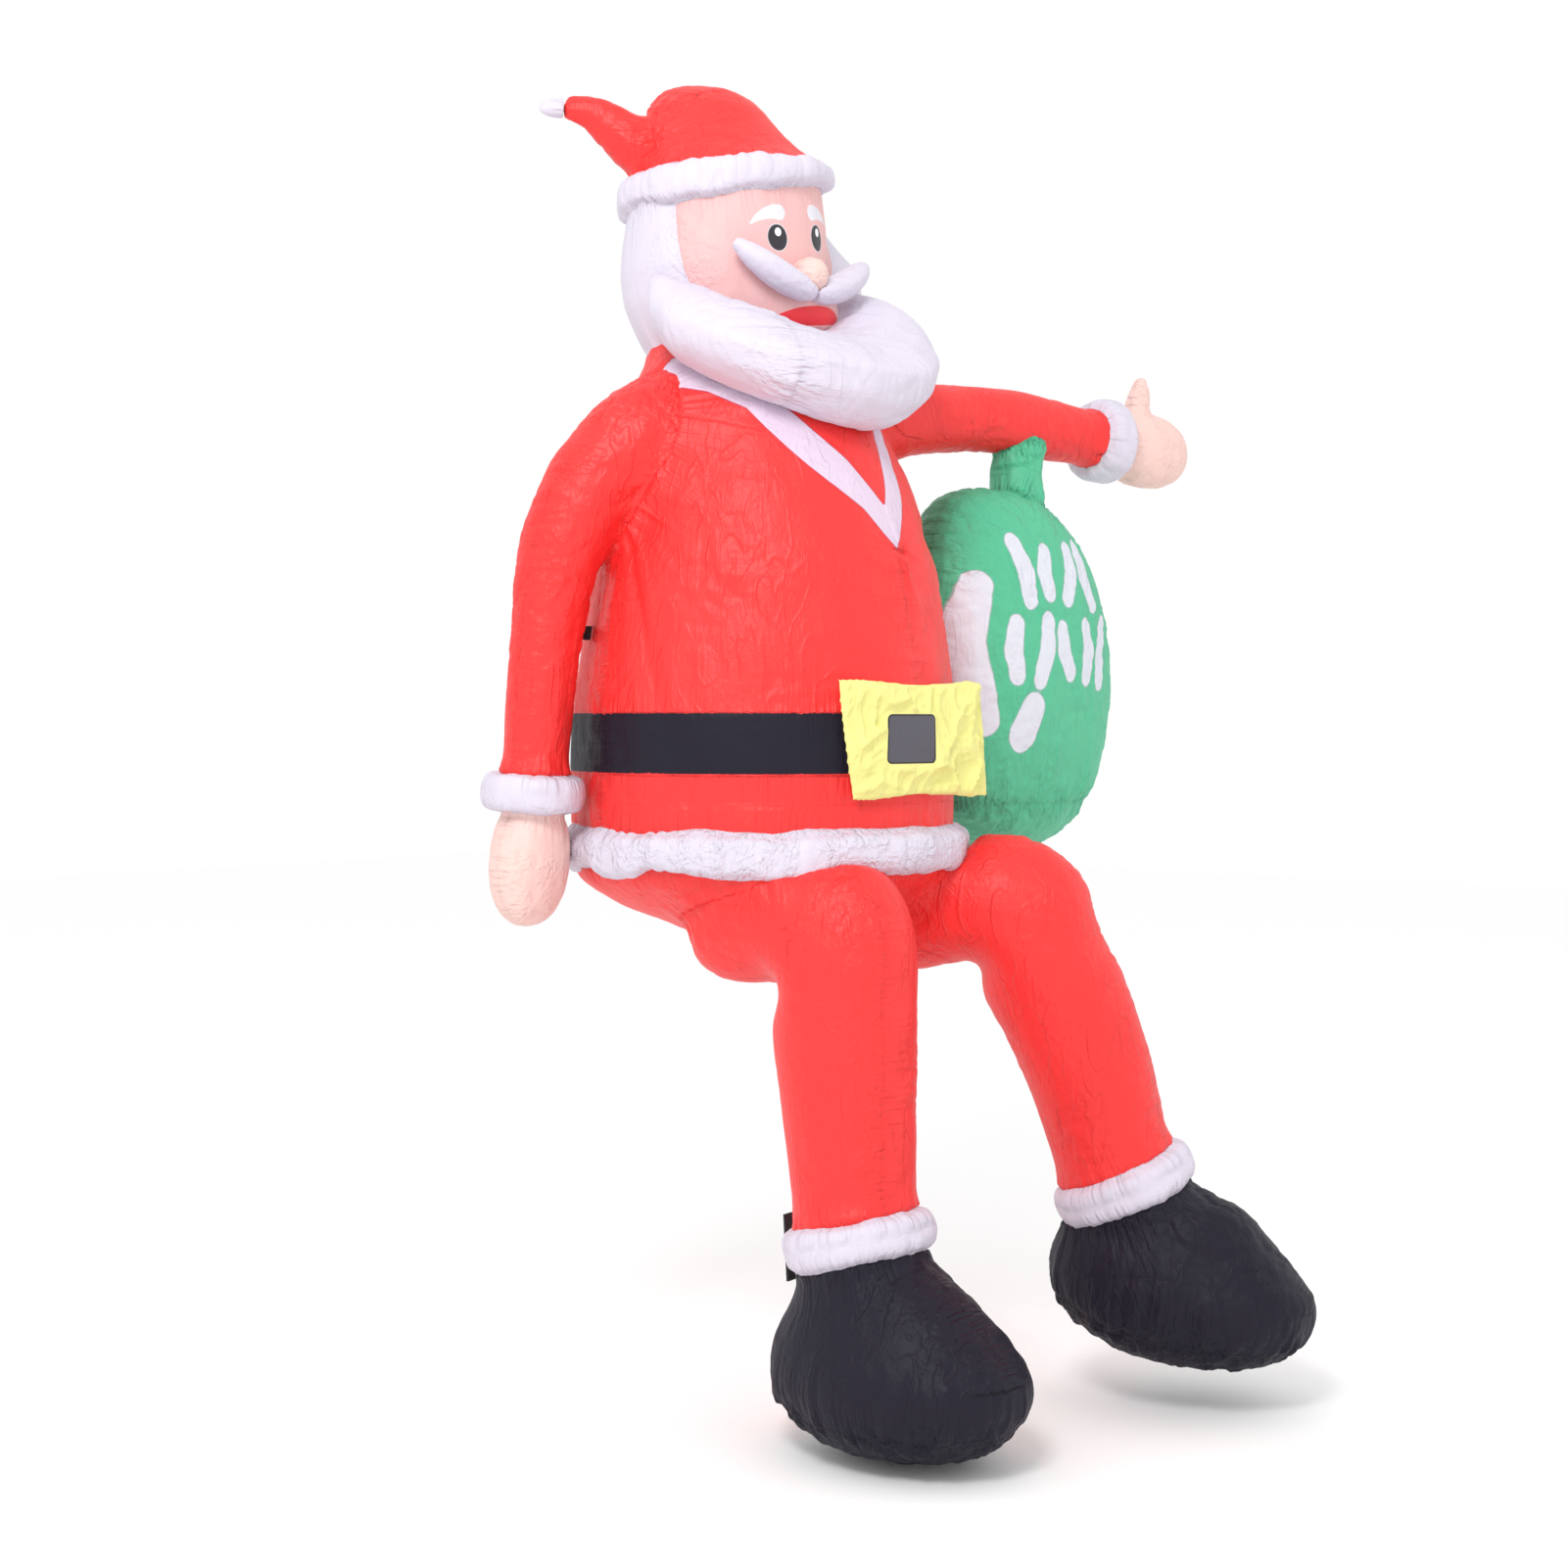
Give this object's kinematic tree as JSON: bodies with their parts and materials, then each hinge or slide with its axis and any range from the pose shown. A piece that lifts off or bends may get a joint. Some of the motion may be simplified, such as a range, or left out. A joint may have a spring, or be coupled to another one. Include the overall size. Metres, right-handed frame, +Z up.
{
  "type": "inflatable santa",
  "caption": "Inflatable Santa that sits on a ledge: round coat with belt, padded buckle and fur trims, bent legs in round boots, raised arm over a full sack, and a floppy hat.",
  "frame": {"origin": "middle of the flat seat patch under the coat, where the figure sits on its ledge", "axes": "+Z up through the hat, -Y the way the figure faces, +X towards its left hand and the sack"},
  "size_m": [1.614, 1.2507, 2.416],
  "materials": {
    "red": "fine-wrinkled coated polyester cloth, soft sheen",
    "white": "fine-wrinkled coated polyester cloth, soft sheen",
    "skin": "coated polyester cloth, pink, soft sheen",
    "green": "fine-wrinkled coated polyester cloth, soft sheen",
    "yellow": "crinkled coated polyester cloth over thin padding",
    "black": "coated polyester cloth and woven polyester webbing, dark"
  },
  "bodies": {
    "root": {"coat": "red", "hat": "red", "sleeve_right": "red", "sleeve_left": "red", "leg_right": "red", "leg_left": "red", "hem": "white", "hat_band": "white", "hat_tip": "white", "moustache_right": "white", "moustache_left": "white", "beard": "white", "cuff_right": "white", "cuff_left": "white", "ankle_cuff_right": "white", "ankle_cuff_left": "white", "head": "skin", "nose": "skin", "hand_right": "skin", "hand_left": "skin", "sack": "green", "sack_neck": "green", "buckle": "yellow", "belt": "black", "boot_right": "black", "boot_left": "black", "tether_tab": "black", "ankle_strap": "black"}
  },
  "joints": []
}
